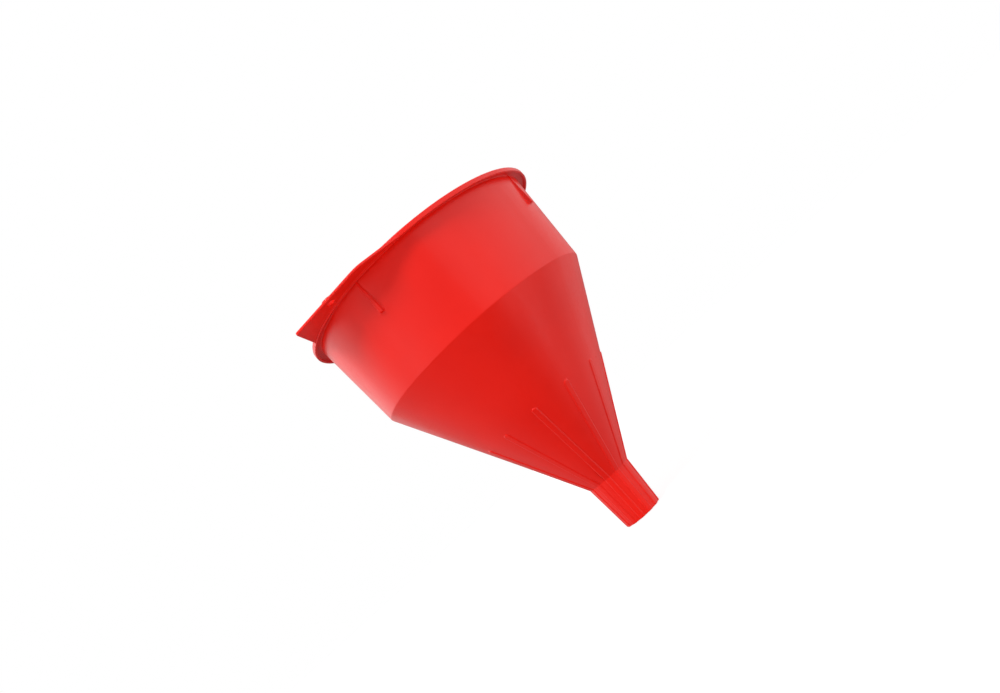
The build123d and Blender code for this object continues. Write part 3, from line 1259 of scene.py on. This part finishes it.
@dataclass(frozen=True)
class DrawnBrass:
    """Brass wire with draw lines and clouds of tarnish."""

    name: str = "drawn_brass_wire"
    bright: Colour = (0.83, 0.61, 0.27, 1.0)
    tarnish: Colour = (0.33, 0.2, 0.08, 1.0)
    clean_roughness: float = 0.22
    tarnished_roughness: float = 0.5
    peel_size: float = 0.4 * MM
    flow_size: float = 6.0 * MM
    draw_depth: float = 0.02 * MM

    def make(self, grain: bpy.types.NodeTree) -> bpy.types.Material:
        """Build the material.

        Args:
            grain: The moulded_grain group, which gives the tarnish its clouds.

        Returns:
            The new material.
        """
        material = bpy.data.materials.new(self.name)
        material.use_nodes = True
        graph = NodeGraph(material.node_tree)
        place = graph.add("TexCoord").outputs["Object"]
        skin = graph.add("Group", node_tree=grain)
        graph.tree.links.new(place, skin.inputs["Vector"])
        skin.inputs["Peel Size"].default_value = self.peel_size
        skin.inputs["Flow Size"].default_value = self.flow_size
        colour = graph.mix_colour(graph.ease(skin.outputs["Sheen"], 0.45, 1.0), self.bright, self.tarnish)
        rough = graph.ease(skin.outputs["Sheen"], 0.0, 1.0, self.clean_roughness, self.tarnished_roughness)
        bump = graph.add("Bump", {
            "Height": skin.outputs["Height"], "Strength": 0.6, "Distance": self.draw_depth,
        })
        shader = graph.add("BsdfPrincipled", {
            "Base Color": colour, "Roughness": rough, "Normal": bump.outputs["Normal"], "Metallic": 1.0,
        })
        out = graph.add("OutputMaterial")
        graph.tree.links.new(shader.outputs["BSDF"], out.inputs["Surface"])
        return material


RED_POLYETHYLENE = MouldedPlastic(
    name="satin_red_polyethylene",
    colour=(0.86, 0.0105, 0.004, 1.0),
    deep_colour=(0.79, 0.008, 0.0028, 1.0),
    worn_colour=(0.86, 0.07, 0.05, 1.0),
    gloss_roughness=0.29,
    dull_roughness=0.38,
    ior=1.5,
    peel_size=1.3 * MM,
    flow_size=16 * MM,
    peel_depth=0.005 * MM,
    scratch_dulling=0.15,
    edge_wear=0.1,
)
BLACK_NYLON = MouldedPlastic(
    name="satin_black_nylon",
    colour=(0.018, 0.018, 0.02, 1.0),
    deep_colour=(0.012, 0.012, 0.014, 1.0),
    worn_colour=(0.12, 0.12, 0.12, 1.0),
    gloss_roughness=0.38,
    dull_roughness=0.55,
    ior=1.53,
    peel_size=0.7 * MM,
    flow_size=9 * MM,
    peel_depth=0.03 * MM,
    scratch_dulling=0.2,
    edge_wear=0.5,
)


def dress(piece: bpy.types.Object, material: bpy.types.Material) -> None:
    """Give a piece one material in place of whatever it has."""
    piece.data.materials.clear()
    piece.data.materials.append(material)


# ---- Studio -----------------------------------------------------------------------------------------


@dataclass(frozen=True)
class Softbox:
    """A soft rectangular lamp aimed at the funnel, which shows in reflections only if it shines."""

    name: str
    azimuth: float
    elevation: float
    distance: float
    width: float
    height: float
    power: float
    shines: bool = False

    def place(self, aim: Vector) -> None:
        """Hang the lamp.

        Args:
            aim: The point that it faces.
        """
        data = bpy.data.lights.new(self.name, "AREA")
        data.shape = "RECTANGLE"
        data.size, data.size_y = self.width, self.height
        data.energy = self.power
        lamp = bpy.data.objects.new(self.name, data)
        az, el = radians(self.azimuth), radians(self.elevation)
        lamp.location = aim + self.distance * Vector((cos(az) * cos(el), sin(az) * cos(el), sin(el)))
        lamp.rotation_euler = (lamp.location - aim).to_track_quat("Z", "Y").to_euler()
        lamp.visible_glossy = self.shines
        bpy.context.scene.collection.objects.link(lamp)


@dataclass(frozen=True)
class Viewpoint:
    """The main camera: where it stands, where it looks and how it is rolled."""

    azimuth: float = 18.1
    distance: float = 475.6 * MM
    height: float = 69.05 * MM
    heading: float = 197.71
    pitch: float = 7.39
    roll: float = -42.15
    lens: float = 28.2

    def place(self) -> None:
        """Make the camera and set it as the scene's."""
        data = bpy.data.cameras.new("main_camera")
        data.lens = self.lens
        data.sensor_width = 36.0
        data.clip_start, data.clip_end = 0.01, 20.0
        camera = bpy.data.objects.new("main_camera", data)
        spot = Vector((cos(radians(self.azimuth)), sin(radians(self.azimuth)), 0)) * self.distance
        spot.z = self.height
        turn = (
            Matrix.Rotation(radians(self.heading - 90), 4, "Z")
            @ Matrix.Rotation(radians(90 + self.pitch), 4, "X")
            @ Matrix.Rotation(radians(self.roll), 4, "Z")
        )
        camera.matrix_world = Matrix.Translation(spot) @ turn
        bpy.context.scene.collection.objects.link(camera)
        bpy.context.scene.camera = camera


@dataclass(frozen=True)
class Panel:
    """A soft bright patch of the surround, seen only in reflections."""

    azimuth: float
    elevation: float
    half_width: float
    half_height: float
    fade: float
    strength: float


@dataclass
class Studio:
    """A pale floor in a white surround, soft lamps, and panels for the plastic to reflect.

    Each span eases from its first value to its second. lift_span is in metres from the floor's
    middle, horizon is in degrees of elevation, and the rest are in degrees of azimuth from the
    main view.
    """

    floor_radius: float = 4.0
    floor_sides: int = 96
    floor_drop: float = 0.4 * MM
    floor_light: Colour = (0.24, 0.24, 0.24, 1.0)
    floor_dark: Colour = (0.22, 0.22, 0.22, 1.0)
    near_lift: float = 0.85
    lift_span: tuple[float, float] = (0.25, 1.1)
    horizon: tuple[float, float] = (-8.0, 6.0)
    upper_span: tuple[float, float] = (70.0, 125.0)
    upper_back: tuple[float, float] = (135.0, 165.0)
    lower_span: tuple[float, float] = (22.0, 115.0)
    lower_back: tuple[float, float] = (125.0, 160.0)
    lower_left: tuple[float, float] = (-60.0, 20.0)
    front_glow: float = 0.03
    rear_glow: float = 0.85
    lower_glow: float = 0.75
    left_share: float = 0.55
    behind_share: float = 0.3
    panels: tuple[Panel, ...] = (
        Panel(-122, 30, 34, 30, 16, 0.5),
        Panel(62, 35, 34, 38, 14, 0.8),
        Panel(-22, 22, 44, 24, 14, 0.32),
        Panel(56, -34, 13, 6, 10, 1.3),
    )
    lamps: tuple[Softbox, ...] = (
        Softbox("key_softbox", -10, 48, 1.1, 0.36, 0.36, 6.9, shines=True),
        Softbox("low_fill", 18, -22, 1.5, 1.3, 1.0, 7.3),
        Softbox("left_fill", -42, -12, 1.5, 1.0, 1.0, 10.5),
        Softbox("right_fill", 88, -12, 1.5, 1.0, 1.0, 8.0),
    )

    def surround(self, view: Viewpoint) -> None:
        """Build the world: plain white to the camera, and panels on a dark front to other rays.

        Args:
            view: The main viewpoint. Azimuths of the panels are counted from it.
        """
        world = bpy.data.worlds.new("white_room")
        bpy.context.scene.world = world
        world.use_nodes = True
        graph = NodeGraph(world.node_tree)
        way = graph.add("TexCoord").outputs["Generated"]
        about_z = {"Vector": way, "Axis": (0, 0, 1), "Angle": -radians(view.azimuth)}
        turned = graph.add("VectorRotate", about_z, rotation_type="AXIS_ANGLE")
        parts = graph.add("SeparateXYZ", {0: turned.outputs[0]})
        x, y, z = parts.outputs
        side = graph.math("MULTIPLY", graph.math("ARCTAN2", y, x), degrees(1.0))
        rise = graph.math("MULTIPLY", graph.math("ARCSINE", z), degrees(1.0))
        off = graph.math("ABSOLUTE", side)
        above = graph.ease(rise, *self.horizon)
        upper = graph.math("MULTIPLY", graph.ease(off, *self.upper_span, 0.0, self.rear_glow), above)
        upper = graph.math("MULTIPLY", graph.ease(off, *self.upper_back, 1.0, self.behind_share), upper)
        under = graph.math("SUBTRACT", 1.0, above)
        away = graph.ease(off, *self.lower_span, self.front_glow, self.lower_glow)
        lower = graph.math("MULTIPLY", away, under)
        lower = graph.math("MULTIPLY", lower, graph.ease(side, *self.lower_left, self.left_share, 1.0))
        lower = graph.math("MULTIPLY", lower, graph.ease(off, *self.lower_back, 1.0, self.behind_share))
        glow = graph.math("ADD", upper, lower)
        for panel in self.panels:
            glow = graph.math("ADD", glow, self.patch(graph, side, rise, panel))
        rays = graph.add("LightPath").outputs
        soft = graph.add("Background", {"Color": WHITE, "Strength": glow})
        seen = graph.add("Background", {"Color": WHITE, "Strength": 1.0})
        mix = graph.add("MixShader", {0: rays["Is Camera Ray"], 1: soft.outputs[0], 2: seen.outputs[0]})
        out = graph.add("OutputWorld")
        graph.tree.links.new(mix.outputs[0], out.inputs["Surface"])

    def patch(
        self, graph: NodeGraph, side: bpy.types.NodeSocket, rise: bpy.types.NodeSocket, panel: Panel
    ) -> bpy.types.NodeSocket:
        """Brightness of one panel in each direction.

        Args:
            graph: The world's graph.
            side: Azimuth from the main viewpoint in degrees.
            rise: Elevation in degrees.
            panel: The panel.

        Returns:
            The brightness socket.
        """
        wrapped = graph.math("WRAP", graph.math("SUBTRACT", side, panel.azimuth), 180.0, -180.0)
        across = graph.math("ABSOLUTE", wrapped)
        up = graph.math("ABSOLUTE", graph.math("SUBTRACT", rise, panel.elevation))
        wide = graph.ease(across, panel.half_width, panel.half_width + panel.fade, 1.0, 0.0)
        tall = graph.ease(up, panel.half_height, panel.half_height + panel.fade, 1.0, 0.0)
        return graph.math("MULTIPLY", graph.math("MULTIPLY", wide, tall), panel.strength)

    def floor(self) -> bpy.types.Object:
        """Lay the pale floor.

        Returns:
            The floor.
        """
        mesh = bpy.data.meshes.new("studio_floor")
        work = bmesh.new()
        bmesh.ops.create_circle(work, cap_ends=True, segments=self.floor_sides, radius=self.floor_radius)
        work.to_mesh(mesh)
        work.free()
        floor = bpy.data.objects.new("studio_floor", mesh)
        floor.location.z = -self.floor_drop
        floor.visible_glossy = False
        floor.visible_shadow = False
        bpy.context.scene.collection.objects.link(floor)
        material = bpy.data.materials.new("pale_floor")
        material.use_nodes = True
        graph = NodeGraph(material.node_tree)
        place = graph.add("TexCoord").outputs["Object"]
        tooth = graph.noise(place, 90.0, 4.0)
        tint = graph.mix_colour(tooth, self.floor_light, self.floor_dark)
        ray = graph.add("LightPath").outputs["Is Camera Ray"]
        apart = graph.add("VectorMath", {0: place}, operation="LENGTH").outputs["Value"]
        lift = graph.math("MULTIPLY", ray, graph.ease(apart, *self.lift_span, self.near_lift, 1.0))
        shader = graph.add("BsdfPrincipled", {
            "Base Color": tint, "Roughness": 0.9, "Specular IOR Level": 0.1,
            "Emission Color": WHITE, "Emission Strength": lift,
        })
        out = graph.add("OutputMaterial")
        graph.tree.links.new(shader.outputs["BSDF"], out.inputs["Surface"])
        dress(floor, material)
        return floor

    def light(self, aim: Vector) -> None:
        """Hang every lamp.

        Args:
            aim: The point that they face.
        """
        for lamp in self.lamps:
            lamp.place(aim)


def main() -> None:
    """Build the pieces in order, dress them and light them."""
    logging.basicConfig(level=logging.INFO, format="%(name)s: %(message)s")
    view = Viewpoint()
    view.place()
    grain, wear = make_moulded_grain(), make_handling_wear()
    red = RED_POLYETHYLENE.make(grain, wear)
    black = BLACK_NYLON.make(grain, wear)
    brass = DrawnBrass().make(grain)

    shell = hand_over(MouldedShell().build(), Body.FUNNEL, Slot.RED, "funnel_body")
    dress(shell, red)
    gauze = hand_over(WovenGauze().build(), Body.STRAINER, Slot.BRASS, "strainer_gauze")
    dress(gauze, brass)
    knob = hand_over(PullKnob().build(), Body.STRAINER, Slot.RED, "pull_knob")
    dress(knob, red)
    for node in ("strainer_frame", "retaining_ring"):
        dress(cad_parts[node], black)
        log.info("%s: CAD node, dressed in %s", node, black.name)

    studio = Studio()
    studio.surround(view)
    studio.floor()
    low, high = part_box("funnel_body")
    studio.light((low + high) / 2)
    bpy.context.scene.view_settings.view_transform = "Standard"


if __name__ == "__main__":
    main()
